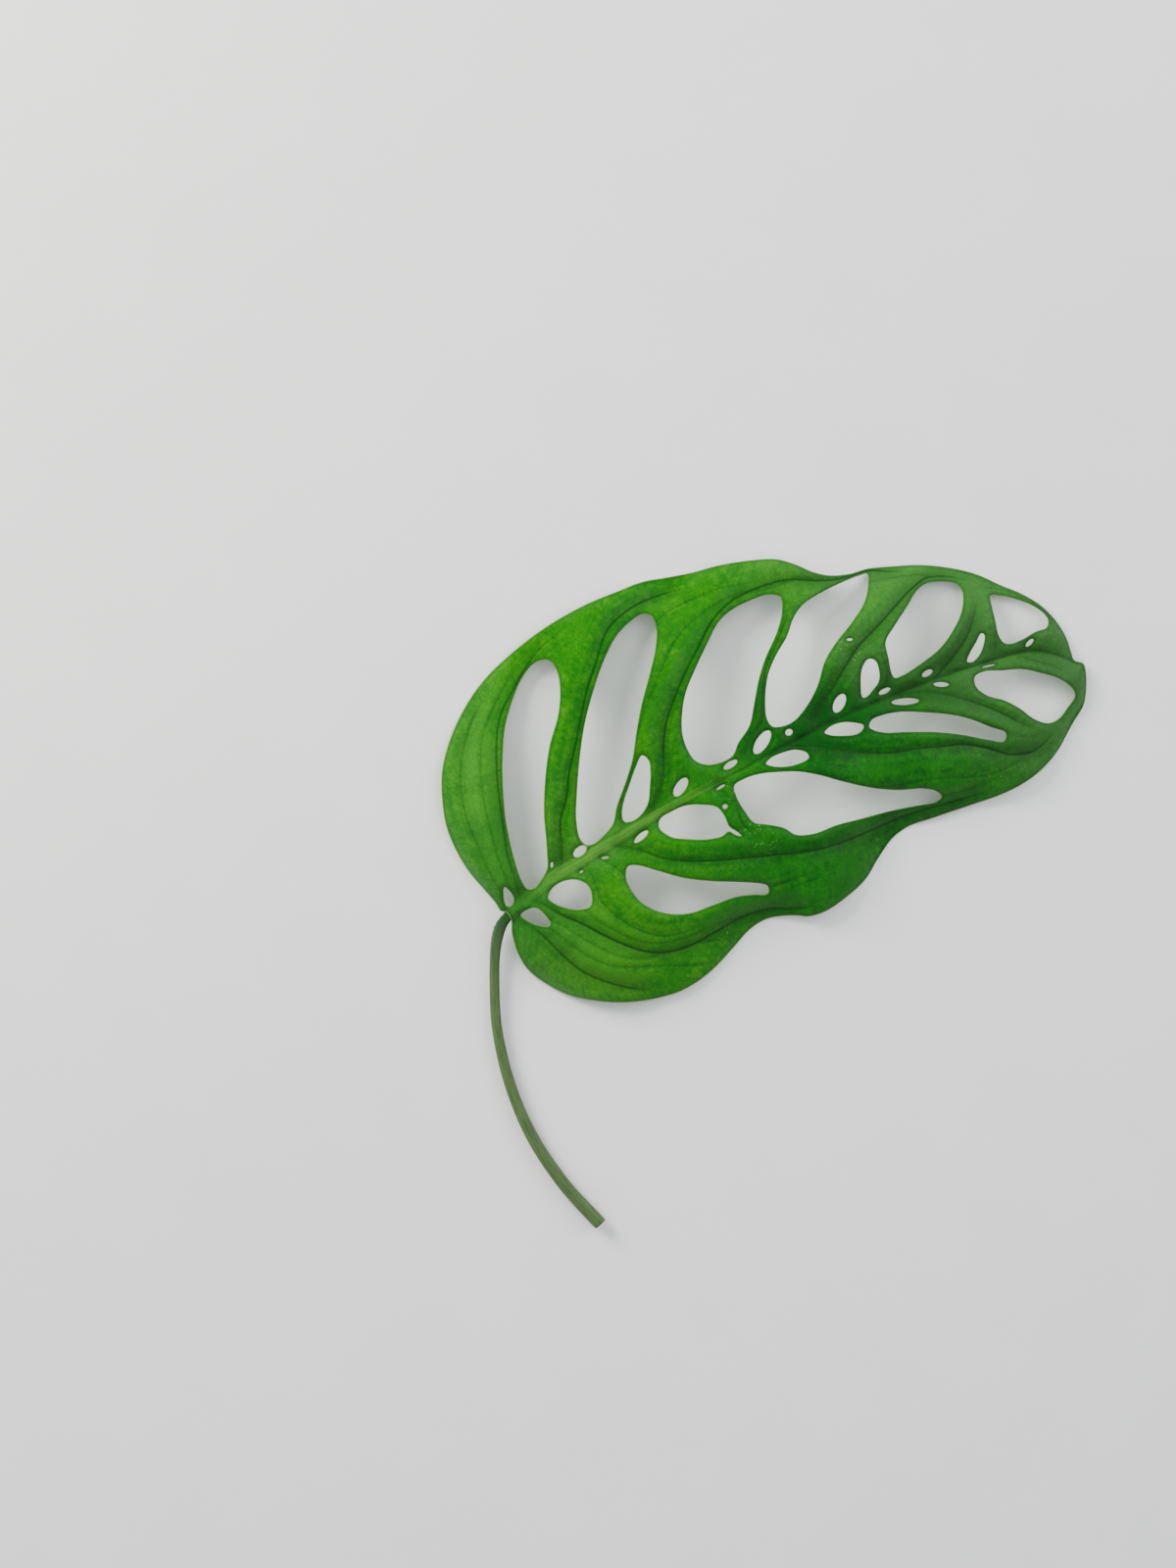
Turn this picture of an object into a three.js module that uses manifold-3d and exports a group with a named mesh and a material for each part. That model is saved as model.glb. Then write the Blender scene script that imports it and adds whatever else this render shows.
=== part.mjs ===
// A single leaf of a swiss-cheese plant (monstera), picked with its stalk and lying
// face up on a flat surface. Units are millimetres and +Z is up.
//
// The leaf is drawn in its own plan: x runs along the blade from the point where the
// stalk meets it to the tip, and y runs to the left of that line. The blade is a thin
// sheet whose height comes from bladeHeight(). It is trimmed to its margin, cut through
// by its windows and pinholes, and carries the midrib as a tapering rod under it.
import * as THREE from "three";
import { mergeVertices } from "three/addons/utils/BufferGeometryUtils.js";
import Module from "manifold-3d";

// ---- driving dimensions ----
const BLADE_LENGTH = 290; // stalk end to tip, along a straight line
const SHEET_THICKNESS = 0.7;
const SHEET_CELL = 9.5; // size of the sheet's cells before it is trimmed
const SHEET_SPARE = 3; // how far the sheet runs past the margin before it is trimmed
const TRIM_REACH = 60; // how far the trimming prism runs above and below z = 0
const MIDRIB_RADIUS = { base: 2.5, tip: 0.7, taper: 0.6 };
const MIDRIB_PROUD = 0.5; // how far the midrib stands above the sheet's middle
const MIDRIB_ROD = { rings: 34, sides: 8 };
const STALK_RADIUS = { cut: 3.1, neck: 2.35, knee: 2.75 }; // knee is the swelling below the blade
const STALK_SHARES = { neck: 0.82, kneeStart: 0.93, kneeEnd: 0.95 }; // of the way from the cut end
const STALK_GAP = 0.9; // between the stalk's end and the midrib's, at their middles
const STALK_REST = 3.1; // height of the stalk's middle where it lies on the surface
const STALK_ROD = { rings: 40, sides: 12 };
const CURVE_STEP = 5; // longest straight step along the margin and the windows
const LINE_SAMPLES = { margin: 400, midrib: 200 }; // for measuring distances to them
const WELD_DISTANCE = 1e-4; // vertices closer than this are one

// Height of the blade above the level that its margin touches.
const HEIGHT = {
  midribAtBase: 9,
  midribAtCrest: 17,
  midribAtTip: 4,
  crest: 0.42, // where the midrib is highest, as a share of the blade's length
  crown: 6, // bulge of each half between the midrib and the margin
  wave: 3, // rise and fall of the margin
  fullFall: 26, // where the margin is nearer the midrib than this, it falls less
};

// ---- plan of the leaf ----
// The margin, from the stalk along the left side to the tip and back along the right.
const MARGIN = [
  [-1.4, 4.8], [-2.1, 9], [-4.6, 17], [-7.8, 27.5], [-9.2, 39], [-8.8, 50], [-6, 61],
  [-0.5, 74], [8, 85.3], [20, 96.3], [34, 105], [50, 110.9], [70, 115.7], [90, 117.7],
  [107, 117.4], [119, 117], [130, 114.4], [142, 111.6], [155, 109.4], [170, 105.3],
  [180, 101.3], [187, 95.4], [192.5, 89.3], [199, 84.6], [208, 81.5], [217, 80.4],
  [228, 76.8], [240, 72.1], [252, 65.4], [262, 57.7], [270, 48.8], [277, 41.2],
  [283, 32.3], [286.6, 22.6], [287.6, 14], [286.8, 6.8], [286.6, 3.3], [290, 0.2],
  [289.9, -2], [287.4, -9.5], [283.2, -17], [275, -23], [265, -30.6], [256, -35.2],
  [245, -38.4], [232, -39.5], [215, -38.3], [198, -36.8], [186, -35.9], [177, -38],
  [168, -43.4], [158, -50.1], [147, -53.7], [135, -55.8], [127, -54.9], [122.6, -52.6],
  [116, -50], [109, -48.5], [100, -49.8], [88, -55.2], [75, -60.3], [61, -62.7],
  [48, -61.3], [35, -57.4], [22, -51], [11, -43.3], [3, -33.3], [-1.2, -25],
  [-2.2, -17], [-1.4, -9.5], [-0.2, -4.8], [1, -2.4], [1.5, 0.6], [0.8, 3.2],
];

// The windows between the lobes, left side first, each from the stalk end of the blade.
const WINDOWS = [
  [
    [13.1, 12], [13.6, 21], [15.3, 31.5], [18, 43], [22.3, 55.5], [28, 69], [35, 81.8],
    [43.5, 92], [52, 99.6], [60, 102.9], [65.4, 101], [66.8, 95], [64.4, 86], [59, 76],
    [50, 65], [42, 52], [35, 37.5], [31, 26], [28.6, 19.5], [26.3, 14.2], [21.8, 10.5],
    [17, 8.1], [14, 9],
  ],
  [
    [45.3, 20.5], [47.4, 29.5], [52.4, 40], [60, 54], [68.5, 67.5], [78, 79.5],
    [88, 90.3], [98, 98.5], [107, 102.3], [113.6, 103.2], [116.8, 100.5], [116.4, 94.5],
    [112.3, 86.2], [105, 76.4], [96, 65.2], [88.5, 54.3], [82, 44], [75, 35.8],
    [66.5, 26.8], [62, 20.6], [56, 17.4], [50, 15.7], [46.8, 16.6],
  ],
  [
    [67, 19.3], [71, 18.1], [76, 19.5], [80.4, 22.8], [84, 29], [87, 35], [88.5, 40.5],
    [86.6, 43.9], [82, 40.3], [76, 34], [70, 27.3], [67.2, 22.6],
  ],
  [
    [106.5, 38], [107.2, 45], [110.6, 53.2], [116, 61.5], [125, 70.3], [135, 78.9],
    [143, 85.3], [151, 88.2], [160, 88.8], [169, 88.1], [174.2, 84.6], [172, 78],
    [166, 70.4], [156, 61.4], [149, 53.4], [142.5, 44], [136.8, 36.2], [129, 31],
    [124.5, 26.9], [118.5, 26.2], [112, 27.8], [107.7, 31.8],
  ],
  [
    [145.3, 35.5], [148, 44], [154, 54.2], [161, 60.9], [169, 66.7], [175.5, 73.4],
    [182, 77.2], [192, 78.9], [203, 79.4], [212, 79.2], [215.8, 78.4], [213.4, 73],
    [208, 66.4], [199, 60.5], [188, 54.7], [180, 49], [173, 40.7], [165, 34.2],
    [156.5, 30], [150.5, 29.9], [146.4, 31.6],
  ],
  [
    [189.4, 27.2], [191.2, 33.6], [194.6, 39.7], [198.7, 42.3], [201.4, 40.6],
    [201.5, 36], [199.4, 31], [195, 28.2], [191.2, 26.6],
  ],
  [
    [206, 31.5], [207.4, 39], [209.2, 46.2], [216, 51.3], [225, 57], [232.5, 61.9],
    [238.5, 63.3], [246, 61], [251.6, 57.3], [251.9, 52.5], [247.5, 45], [240, 38.5],
    [231, 33.3], [220, 30.4], [210, 28.9], [206.6, 29.3],
  ],
  [
    [258.3, 28], [259.6, 34.5], [261.6, 42.5], [263.2, 46.3], [268, 44.3], [274, 39.6],
    [279.5, 33.9], [282.6, 28.6], [283, 25], [280.6, 22.2], [275, 22.5], [268, 21.8],
    [262, 22.1], [259.2, 24],
  ],
  [
    [6.2, -0.6], [10.3, 0.5], [14.2, -0.4], [16.4, -4.2], [17.4, -9.4], [16, -10.5],
    [11.5, -7.8], [8, -4.2],
  ],
  [
    [21, 1.6], [24.4, 4.8], [30.5, 5.8], [36.5, 3.9], [40.1, -0.5], [40, -5],
    [37.2, -9.7], [31, -8.7], [25.5, -5], [21.8, -0.8],
  ],
  [
    [57.1, -9], [57.4, -4], [60.3, 0.1], [64.5, -1.2], [72, -7.2], [81, -14.6],
    [92, -21.2], [104, -27.1], [113, -32], [115.3, -34.2], [114, -37.7], [107.5, -35.3],
    [100, -33], [88, -32], [78.5, -31.3], [70, -28.2], [62.6, -22.4], [58.5, -15.8],
  ],
  [
    [80.4, 10.4], [82.4, 13.9], [89, 15], [96, 14.8], [103, 12], [108.2, 8.6],
    [109.8, 3.5], [109.9, -2], [112, -5.2], [113.3, -8.2], [111, -6.8], [108.6, -3.9],
    [105.2, -4.7], [98, -3.2], [90, 0.5], [83.6, 4.4],
  ],
  [
    [118.3, 9.5], [119.5, 14.2], [125, 15.2], [132, 14.5], [141, 11.6], [149, 8.2],
    [157, 2.9], [166, -4.4], [177, -12.3], [188, -18.2], [198, -21.9], [203.5, -25.6],
    [205.2, -29.2], [202, -30.6], [193, -28.6], [181, -25.9], [168, -23.7],
    [155, -21.4], [144, -20.7], [136, -17.7], [132.3, -12.7], [126, -8.2],
    [120.8, -4.8], [118.9, 2],
  ],
  [
    [186.6, 13.6], [189, 16.2], [195, 16.2], [203, 14.2], [213, 9.5], [223, 4],
    [231, -2], [238, -9], [243.2, -14], [241, -17.5], [234, -13.6], [224, -6.8],
    [213, -0.6], [201, 4.7], [191, 9],
  ],
  [
    [239.2, 10.5], [240.6, 15.1], [246, 15.6], [253, 12.9], [262, 9.6], [269, 4.7],
    [276, -1.3], [280.2, -8], [280.2, -11.8], [275, -15.3], [269, -18.4],
    [263.5, -18.3], [258, -14], [253.6, -6.8], [248.5, -0.4], [242.4, 4.6],
  ],
];

// The small openings along the midrib that are not plain ovals.
const SMALL_WINDOWS = [
  [[4.7, 14.2], [6.4, 11], [6.4, 7.2], [4, 4.9], [2, 5.5], [2.2, 9.5]],
  [
    [240.3, 22.9], [242.5, 21.6], [246.5, 23], [250, 26.3], [252.5, 30.8],
    [251.4, 32.2], [247.5, 29.4], [242.6, 25.6],
  ],
  [
    [136.7, 17.4], [140, 19], [146.5, 19], [152, 17.8], [156, 14.4], [155.8, 11.9],
    [150, 11.3], [144, 12.6], [139, 15.1],
  ],
  [
    [167, 19.6], [170, 21], [175.5, 20.9], [181, 18.6], [184.8, 15.4], [183.3, 13.6],
    [180, 12.9], [173, 15.2], [168.6, 17.6],
  ],
];

// Oval pinholes: [x, y, length, width, degrees that the length is turned from x].
const PINHOLES = [
  [28.7, 14.7, 2.8, 1.3, 60], [43, 15.2, 7.2, 4.2, 15], [96.9, 23.4, 10, 4.9, 32],
  [121.8, 23.6, 7.4, 3.1, 8], [139.2, 27.1, 12.6, 5.6, 33], [152.2, 26.3, 3.7, 3.2, 0],
  [178.7, 29.1, 9.4, 5.2, 40], [200, 25.8, 6, 2.5, 3], [221.3, 25.4, 5.6, 2.8, 6],
  [270.4, 19.1, 4.8, 2.3, 22], [194.6, 53.8, 3, 1.5, -20], [39.8, 6.4, 1.9, 1, 10],
  [52.3, 7.9, 3.6, 1.3, -15], [71.3, 10, 8.2, 2.9, 17], [113.6, 16, 4.8, 1.3, 8],
  [111.8, 7.2, 2.5, 2.3, 0], [206.7, 17.6, 12.8, 3.3, -20], [225.1, 18.1, 7.2, 2.4, -25],
  [248.7, 17, 6.6, 0.9, -11],
];

// The midrib, from the stalk to the tip.
const MIDRIB = [
  [-0.5, 0.6], [10, 4.6], [20, 7.6], [30, 9.8], [43, 11.3], [60, 13.3], [80, 16.2],
  [97, 17.9], [113, 19], [127, 19.7], [140, 21.1], [155, 21.7], [170, 22.9],
  [185, 23.1], [200, 22.5], [220, 22], [235, 20.8], [248, 19.3], [260, 17.9],
  [270, 15.3], [280, 9], [287.5, 1.6],
];

// The stalk, from its cut end to the knee where it turns into the midrib. The third
// number is the share of its climb from the surface to the midrib's height.
const STALK = [
  [-18, -146, 0], [-26, -122, 0], [-30.5, -96, 0], [-30, -70, 0], [-25, -44, 0.04],
  [-18, -25.5, 0.19], [-12.2, -13, 0.45], [-8.2, -6.3, 0.69], [-4.2, -1.7, 0.9],
  [-0.5, 0.6, 1],
];

const wasm = await Module();
wasm.setup();

// ---- curves ----
function flatCurve(points, closed) {
  const corners = points.map(([x, y]) => new THREE.Vector3(x, y, 0));
  return new THREE.CatmullRomCurve3(corners, closed, "centripetal");
}

function closedOutline(points) {
  const curve = flatCurve(points, true);
  const steps = Math.max(points.length, Math.ceil(curve.getLength() / CURVE_STEP));
  return curve.getSpacedPoints(steps).slice(0, -1).map((p) => new THREE.Vector2(p.x, p.y));
}

function oval([x, y, length, width, degrees]) {
  const turn = THREE.MathUtils.degToRad(degrees);
  const ring = new THREE.EllipseCurve(x, y, length / 2, width / 2, 0, 2 * Math.PI, false, turn);
  const sides = length > 5 ? 12 : 8;
  return ring.getPoints(sides).slice(0, -1);
}

// ---- height of the blade ----
const marginLine = flatCurve(MARGIN, true).getSpacedPoints(LINE_SAMPLES.margin);
const midribLine = flatCurve(MIDRIB, false).getSpacedPoints(LINE_SAMPLES.midrib);

function distanceTo(line, x, y) {
  return Math.min(...line.map((p) => Math.hypot(p.x - x, p.y - y)));
}

function insideMargin(x, y) {
  let inside = false;
  for (let i = 1; i < marginLine.length; i++) {
    const a = marginLine[i];
    const b = marginLine[i - 1];
    const crosses = a.y > y !== b.y > y;
    if (crosses && x < ((b.x - a.x) * (y - a.y)) / (b.y - a.y) + a.x) inside = !inside;
  }
  return inside;
}

// The midrib climbs from the stalk to a crest and comes down to the tip.
function midribHeight(x) {
  const along = THREE.MathUtils.clamp(x / BLADE_LENGTH, 0, 1);
  const { midribAtBase, midribAtCrest, midribAtTip, crest } = HEIGHT;
  const end = along < crest ? midribAtBase : midribAtTip;
  const reach = along < crest ? (crest - along) / crest : (along - crest) / (1 - crest);
  return midribAtCrest - (midribAtCrest - end) * reach * reach;
}

function marginWave(x, y) {
  const long = Math.sin(0.062 * x + 0.021 * y + 0.4);
  const short = 0.45 * Math.sin(0.117 * x - 0.052 * y + 1.9);
  return HEIGHT.wave * (1.1 + long + short);
}

// Across the blade, share is 0 on the midrib and 1 on the margin.
function bladeHeight(x, y) {
  const fromMidrib = distanceTo(midribLine, x, y);
  const fromMargin = insideMargin(x, y) ? distanceTo(marginLine, x, y) : 0;
  const width = fromMidrib + fromMargin;
  const share = fromMidrib / (width || 1);
  const room = THREE.MathUtils.smoothstep(width, 0, HEIGHT.fullFall);
  const fall = room * share * share;
  const bulge = room * HEIGHT.crown * Math.sin(Math.PI * share);
  return midribHeight(x) * (1 - fall) + bulge + marginWave(x, y) * fall;
}

// ---- solids ----
function solidFrom(geometry) {
  geometry.deleteAttribute("normal");
  geometry.deleteAttribute("uv");
  const merged = mergeVertices(geometry, WELD_DISTANCE);
  return new wasm.Manifold(
    new wasm.Mesh({
      numProp: 3,
      vertProperties: merged.attributes.position.array,
      triVerts: new Uint32Array(merged.index.array),
    }),
  );
}

function geometryFrom(solid) {
  const { vertProperties, triVerts } = solid.getMesh();
  const geometry = new THREE.BufferGeometry();
  geometry.setAttribute("position", new THREE.BufferAttribute(vertProperties, 3));
  geometry.setIndex(new THREE.BufferAttribute(triVerts, 1));
  geometry.computeVertexNormals();
  return geometry;
}

// A slab over the whole leaf, bent to the blade's height.
function bentSheet() {
  const box = new THREE.Box3().setFromPoints(marginLine).expandByScalar(SHEET_SPARE);
  const size = box.getSize(new THREE.Vector3());
  const middle = box.getCenter(new THREE.Vector3());
  const across = Math.round(size.x / SHEET_CELL);
  const deep = Math.round(size.y / SHEET_CELL);
  const slab = new THREE.BoxGeometry(size.x, size.y, SHEET_THICKNESS, across, deep, 1);
  slab.translate(middle.x, middle.y, 0);
  const position = slab.attributes.position;
  for (let i = 0; i < position.count; i++) {
    const lift = bladeHeight(position.getX(i), position.getY(i));
    position.setZ(i, position.getZ(i) + lift);
  }
  return slab;
}

// The upright prism of the leaf's plan, with every window and pinhole through it.
function trimmingPrism() {
  const plan = new THREE.Shape(closedOutline(MARGIN).reverse()); // anticlockwise
  const openings = [...WINDOWS, ...SMALL_WINDOWS].map(closedOutline);
  openings.push(...PINHOLES.map(oval));
  plan.holes = openings.map((points) => new THREE.Path(points));
  const prism = new THREE.ExtrudeGeometry(plan, { depth: 2 * TRIM_REACH, bevelEnabled: false });
  return prism.translate(0, 0, -TRIM_REACH);
}

// A round rod turned on a lathe, then bent along a curve. radiusAt takes 0 to 1.
function bentRod(curve, radiusAt, { rings, sides }) {
  const profile = [new THREE.Vector2(0, 0)];
  for (let i = 0; i <= rings; i++) profile.push(new THREE.Vector2(radiusAt(i / rings), i / rings));
  profile.push(new THREE.Vector2(0, 1));
  const rod = new THREE.LatheGeometry(profile, sides);
  const position = rod.attributes.position;
  const up = new THREE.Vector3(0, 0, 1);
  for (let i = 0; i < position.count; i++) {
    const share = position.getY(i);
    const ahead = curve.getTangentAt(share);
    const aside = new THREE.Vector3().crossVectors(up, ahead).normalize();
    const above = new THREE.Vector3().crossVectors(ahead, aside);
    const place = curve.getPointAt(share);
    place.addScaledVector(aside, position.getX(i));
    place.addScaledVector(above, -position.getZ(i));
    position.setXYZ(i, place.x, place.y, place.z);
  }
  return rod;
}

function midribRadius(share) {
  return THREE.MathUtils.lerp(MIDRIB_RADIUS.base, MIDRIB_RADIUS.tip, share ** MIDRIB_RADIUS.taper);
}

function midribMiddle(share, x, y) {
  return bladeHeight(x, y) + MIDRIB_PROUD - midribRadius(share);
}

function midribCurve() {
  const last = MIDRIB.length - 1;
  const points = MIDRIB.map(([x, y], i) => new THREE.Vector3(x, y, midribMiddle(i / last, x, y)));
  return new THREE.CatmullRomCurve3(points, false, "centripetal");
}

// The stalk rises from the surface to meet the midrib end to end.
function stalkCurve() {
  const last = STALK.length - 1;
  const [endX, endY] = STALK[last];
  const top = midribMiddle(0, endX, endY);
  const points = STALK.map(([x, y, climb]) => {
    return new THREE.Vector3(x, y, THREE.MathUtils.lerp(STALK_REST, top, climb));
  });
  const toMidrib = midribCurve().getTangentAt(0);
  points[last].addScaledVector(toMidrib, -STALK_GAP);
  return new THREE.CatmullRomCurve3(points, false, "centripetal");
}

// Thickest at the cut end, thinnest at the neck, and swollen again at the knee.
function stalkRadius(share) {
  const { cut, neck, knee } = STALK_RADIUS;
  const { smoothstep } = THREE.MathUtils;
  const thinned = smoothstep(share, 0, STALK_SHARES.neck);
  const swollen = smoothstep(share, STALK_SHARES.neck, STALK_SHARES.kneeStart);
  const settled = smoothstep(share, STALK_SHARES.kneeEnd, 1);
  return cut + (neck - cut) * thinned + (knee - neck) * swollen - (knee - MIDRIB_RADIUS.base) * settled;
}

// ---- the leaf ----
const blade = solidFrom(bentSheet()).intersect(solidFrom(trimmingPrism()));
const midrib = solidFrom(bentRod(midribCurve(), midribRadius, MIDRIB_ROD));
const bladeMesh = new THREE.Mesh(
  geometryFrom(blade.add(midrib)),
  new THREE.MeshStandardMaterial({ color: 0x3c8a1e, roughness: 0.45, metalness: 0 }),
);
bladeMesh.name = "leaf_blade";

const stalkMesh = new THREE.Mesh(
  bentRod(stalkCurve(), stalkRadius, STALK_ROD),
  new THREE.MeshStandardMaterial({ color: 0x46603a, roughness: 0.5, metalness: 0 }),
);
stalkMesh.name = "leaf_stalk";

// The origin is on the surface, under the middle of the leaf's box.
const leaf = new THREE.Group();
leaf.add(bladeMesh, stalkMesh);
const bounds = new THREE.Box3().setFromObject(leaf, true);
const centre = bounds.getCenter(new THREE.Vector3());
leaf.position.set(-centre.x, -centre.y, -bounds.min.z);

export default leaf;
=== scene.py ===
import math

import bpy
import numpy as np
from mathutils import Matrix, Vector, geometry, kdtree, noise


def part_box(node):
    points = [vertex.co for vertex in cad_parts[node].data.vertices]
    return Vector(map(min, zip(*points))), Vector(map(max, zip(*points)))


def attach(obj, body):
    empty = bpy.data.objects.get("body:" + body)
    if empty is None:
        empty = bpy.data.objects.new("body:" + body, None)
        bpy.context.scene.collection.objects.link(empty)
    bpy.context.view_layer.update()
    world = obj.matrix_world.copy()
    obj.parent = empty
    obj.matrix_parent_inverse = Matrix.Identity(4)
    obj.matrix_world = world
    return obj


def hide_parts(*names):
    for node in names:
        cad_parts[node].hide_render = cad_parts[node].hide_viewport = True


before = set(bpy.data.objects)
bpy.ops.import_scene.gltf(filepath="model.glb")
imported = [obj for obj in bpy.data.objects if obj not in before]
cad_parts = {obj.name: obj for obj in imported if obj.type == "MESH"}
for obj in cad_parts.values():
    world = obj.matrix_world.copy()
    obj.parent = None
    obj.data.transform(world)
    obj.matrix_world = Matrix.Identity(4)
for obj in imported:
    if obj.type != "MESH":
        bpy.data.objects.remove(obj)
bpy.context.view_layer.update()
print("frame loaded")

mm = 0.001  # the plan and every size below are in millimetres

# Plan of the leaf: x runs from the stalk to the tip, and y to the left of that.
# The margin goes from the stalk round the left side to the tip and back on the right.
marginPoints = [
    [-1.4, 4.8], [-2.1, 9], [-4.6, 17], [-7.8, 27.5], [-9.2, 39], [-8.8, 50], [-6, 61],
    [-0.5, 74], [8, 85.3], [20, 96.3], [34, 105], [50, 110.9], [70, 115.7], [90, 117.7],
    [107, 117.4], [119, 117], [130, 114.4], [142, 111.6], [155, 109.4], [170, 105.3],
    [180, 101.3], [187, 95.4], [192.5, 89.3], [199, 84.6], [208, 81.5], [217, 80.4],
    [228, 76.8], [240, 72.1], [252, 65.4], [262, 57.7], [270, 48.8], [277, 41.2],
    [283, 32.3], [286.6, 22.6], [287.6, 14], [286.8, 6.8], [286.6, 3.3], [290, 0.2],
    [289.9, -2], [287.4, -9.5], [283.2, -17], [275, -23], [265, -30.6], [256, -35.2],
    [245, -38.4], [232, -39.5], [215, -38.3], [198, -36.8], [186, -35.9], [177, -38],
    [168, -43.4], [158, -50.1], [147, -53.7], [135, -55.8], [127, -54.9], [122.6, -52.6],
    [116, -50], [109, -48.5], [100, -49.8], [88, -55.2], [75, -60.3], [61, -62.7],
    [48, -61.3], [35, -57.4], [22, -51], [11, -43.3], [3, -33.3], [-1.2, -25],
    [-2.2, -17], [-1.4, -9.5], [-0.2, -4.8], [1, -2.4], [1.5, 0.6], [0.8, 3.2],
]

# The windows between the lobes, left half first, each set from the stalk to the tip.
windowPoints = [
    [[13.1, 12], [13.6, 21], [15.3, 31.5], [18, 43], [22.3, 55.5], [28, 69], [35, 81.8], [43.5, 92],
     [52, 99.6], [60, 102.9], [65.4, 101], [66.8, 95], [64.4, 86], [59, 76], [50, 65], [42, 52],
     [35, 37.5], [31, 26], [28.6, 19.5], [26.3, 14.2], [21.8, 10.5], [17, 8.1], [14, 9]],
    [[45.3, 20.5], [47.4, 29.5], [52.4, 40], [60, 54], [68.5, 67.5], [78, 79.5], [88, 90.3], [98, 98.5],
     [107, 102.3], [113.6, 103.2], [116.8, 100.5], [116.4, 94.5], [112.3, 86.2], [105, 76.4],
     [96, 65.2], [88.5, 54.3], [82, 44], [75, 35.8], [66.5, 26.8], [62, 20.6], [56, 17.4], [50, 15.7],
     [46.8, 16.6]],
    [[67, 19.3], [71, 18.1], [76, 19.5], [80.4, 22.8], [84, 29], [87, 35], [88.5, 40.5], [86.6, 43.9],
     [82, 40.3], [76, 34], [70, 27.3], [67.2, 22.6]],
    [[106.5, 38], [107.2, 45], [110.6, 53.2], [116, 61.5], [125, 70.3], [135, 78.9], [143, 85.3],
     [151, 88.2], [160, 88.8], [169, 88.1], [174.2, 84.6], [172, 78], [166, 70.4], [156, 61.4],
     [149, 53.4], [142.5, 44], [136.8, 36.2], [129, 31], [124.5, 26.9], [118.5, 26.2], [112, 27.8],
     [107.7, 31.8]],
    [[145.3, 35.5], [148, 44], [154, 54.2], [161, 60.9], [169, 66.7], [175.5, 73.4], [182, 77.2],
     [192, 78.9], [203, 79.4], [212, 79.2], [215.8, 78.4], [213.4, 73], [208, 66.4], [199, 60.5],
     [188, 54.7], [180, 49], [173, 40.7], [165, 34.2], [156.5, 30], [150.5, 29.9], [146.4, 31.6]],
    [[189.4, 27.2], [191.2, 33.6], [194.6, 39.7], [198.7, 42.3], [201.4, 40.6], [201.5, 36],
     [199.4, 31], [195, 28.2], [191.2, 26.6]],
    [[206, 31.5], [207.4, 39], [209.2, 46.2], [216, 51.3], [225, 57], [232.5, 61.9], [238.5, 63.3],
     [246, 61], [251.6, 57.3], [251.9, 52.5], [247.5, 45], [240, 38.5], [231, 33.3], [220, 30.4],
     [210, 28.9], [206.6, 29.3]],
    [[258.3, 28], [259.6, 34.5], [261.6, 42.5], [263.2, 46.3], [268, 44.3], [274, 39.6], [279.5, 33.9],
     [282.6, 28.6], [283, 25], [280.6, 22.2], [275, 22.5], [268, 21.8], [262, 22.1], [259.2, 24]],
    [[6.2, -0.6], [10.3, 0.5], [14.2, -0.4], [16.4, -4.2], [17.4, -9.4], [16, -10.5], [11.5, -7.8],
     [8, -4.2]],
    [[21, 1.6], [24.4, 4.8], [30.5, 5.8], [36.5, 3.9], [40.1, -0.5], [40, -5], [37.2, -9.7], [31, -8.7],
     [25.5, -5], [21.8, -0.8]],
    [[57.1, -9], [57.4, -4], [60.3, 0.1], [64.5, -1.2], [72, -7.2], [81, -14.6], [92, -21.2],
     [104, -27.1], [113, -32], [115.3, -34.2], [114, -37.7], [107.5, -35.3], [100, -33], [88, -32],
     [78.5, -31.3], [70, -28.2], [62.6, -22.4], [58.5, -15.8]],
    [[80.4, 10.4], [82.4, 13.9], [89, 15], [96, 14.8], [103, 12], [108.2, 8.6], [109.8, 3.5],
     [109.9, -2], [112, -5.2], [113.3, -8.2], [111, -6.8], [108.6, -3.9], [105.2, -4.7], [98, -3.2],
     [90, 0.5], [83.6, 4.4]],
    [[118.3, 9.5], [119.5, 14.2], [125, 15.2], [132, 14.5], [141, 11.6], [149, 8.2], [157, 2.9],
     [166, -4.4], [177, -12.3], [188, -18.2], [198, -21.9], [203.5, -25.6], [205.2, -29.2],
     [202, -30.6], [193, -28.6], [181, -25.9], [168, -23.7], [155, -21.4], [144, -20.7], [136, -17.7],
     [132.3, -12.7], [126, -8.2], [120.8, -4.8], [118.9, 2]],
    [[186.6, 13.6], [189, 16.2], [195, 16.2], [203, 14.2], [213, 9.5], [223, 4], [231, -2], [238, -9],
     [243.2, -14], [241, -17.5], [234, -13.6], [224, -6.8], [213, -0.6], [201, 4.7], [191, 9]],
    [[239.2, 10.5], [240.6, 15.1], [246, 15.6], [253, 12.9], [262, 9.6], [269, 4.7], [276, -1.3],
     [280.2, -8], [280.2, -11.8], [275, -15.3], [269, -18.4], [263.5, -18.3], [258, -14], [253.6, -6.8],
     [248.5, -0.4], [242.4, 4.6]],
]

# The odd-shaped small openings beside the midrib.
smallWindowPoints = [
    [[4.7, 14.2], [6.4, 11], [6.4, 7.2], [4, 4.9], [2, 5.5], [2.2, 9.5]],
    [[240.3, 22.9], [242.5, 21.6], [246.5, 23], [250, 26.3], [252.5, 30.8], [251.4, 32.2],
     [247.5, 29.4], [242.6, 25.6]],
    [[136.7, 17.4], [140, 19], [146.5, 19], [152, 17.8], [156, 14.4], [155.8, 11.9], [150, 11.3],
     [144, 12.6], [139, 15.1]],
    [[167, 19.6], [170, 21], [175.5, 20.9], [181, 18.6], [184.8, 15.4], [183.3, 13.6], [180, 12.9],
     [173, 15.2], [168.6, 17.6]],
]

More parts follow.
